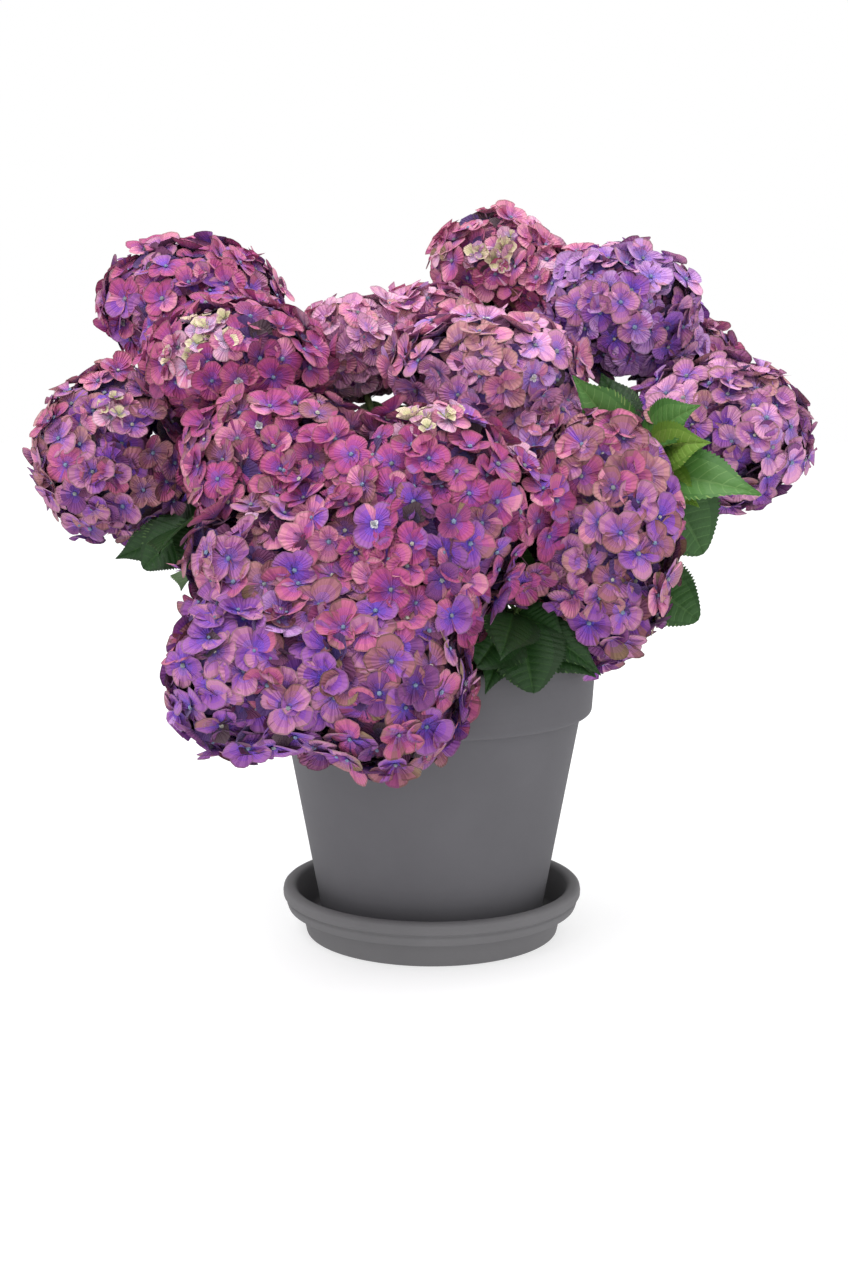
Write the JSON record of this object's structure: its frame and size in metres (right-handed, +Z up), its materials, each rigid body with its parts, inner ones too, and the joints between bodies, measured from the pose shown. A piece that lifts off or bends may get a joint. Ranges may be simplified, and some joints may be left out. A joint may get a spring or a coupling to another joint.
{
  "type": "hydrangea shrub in pot",
  "caption": "Mophead hydrangea shrub with rounded violet-pink flower heads and toothed leaves, growing in a tapered grey clay pot that stands in a round saucer.",
  "frame": {"origin": "middle of the saucer's flat underside, on the pot's axis", "axes": "+Z up along the pot's axis, -Y towards the side of the plant seen in the picture, +X to the right as seen from there"},
  "size_m": [0.6408, 0.5278, 0.6032],
  "materials": {
    "pot_clay": "matt, finely textured fired clay with a grey slip",
    "saucer_clay": "matt, finely textured fired clay with a grey slip",
    "soil": "dark moist potting compost",
    "old_wood": "rough brown bark",
    "cane_bark": "green-brown ribbed bark",
    "petals": "thin matt petals, violet to pink with darker veins",
    "leaves": "satin toothed leaves with paler veins"
  },
  "bodies": {
    "root": {"saucer": "saucer_clay", "pot": "pot_clay", "soil": "soil", "woody_crown": "old_wood", "cane_back_left": "cane_bark", "cane_upper_left": "cane_bark", "cane_far_left": "cane_bark", "cane_middle_left": "cane_bark", "cane_front_middle": "cane_bark", "cane_front_left": "cane_bark", "cane_low_left": "cane_bark", "cane_low_middle": "cane_bark", "cane_front_right": "cane_bark", "cane_back_middle_left": "cane_bark", "cane_back_middle": "cane_bark", "cane_centre_right": "cane_bark", "cane_back_top": "cane_bark", "cane_upper_right": "cane_bark", "cane_back_right_small": "cane_bark", "cane_far_right": "cane_bark", "cane_rear_left": "cane_bark", "cane_rear_middle": "cane_bark", "cane_rear_right": "cane_bark", "cane_rear_far_left": "cane_bark", "cane_rear_low": "cane_bark", "flower_head_back_left": "petals", "flower_head_upper_left": "petals", "flower_head_far_left": "petals", "flower_head_middle_left": "petals", "flower_head_front_middle": "petals", "flower_head_front_left": "petals", "flower_head_low_left": "petals", "flower_head_low_middle": "petals", "flower_head_front_right": "petals", "flower_head_back_middle_left": "petals", "flower_head_back_middle": "petals", "flower_head_centre_right": "petals", "flower_head_back_top": "petals", "flower_head_upper_right": "petals", "flower_head_back_right_small": "petals", "flower_head_far_right": "petals", "flower_head_rear_left": "petals", "flower_head_rear_middle": "petals", "flower_head_rear_right": "petals", "flower_head_rear_far_left": "petals", "flower_head_rear_low": "petals", "leafy_shoot_right": "leaves", "leafy_shoot_front_middle": "leaves", "leafy_shoot_left": "leaves", "leafy_shoot_right_low": "leaves", "leafy_shoot_middle": "leaves", "leafy_shoot_back_left": "leaves", "leafy_shoot_back_right": "leaves", "leafy_shoot_back_middle": "leaves", "leafy_shoot_left_low": "leaves", "leafy_shoot_right_side": "leaves", "leafy_shoot_left_side": "leaves", "leafy_shoot_rear_upper": "leaves"}
  },
  "joints": []
}
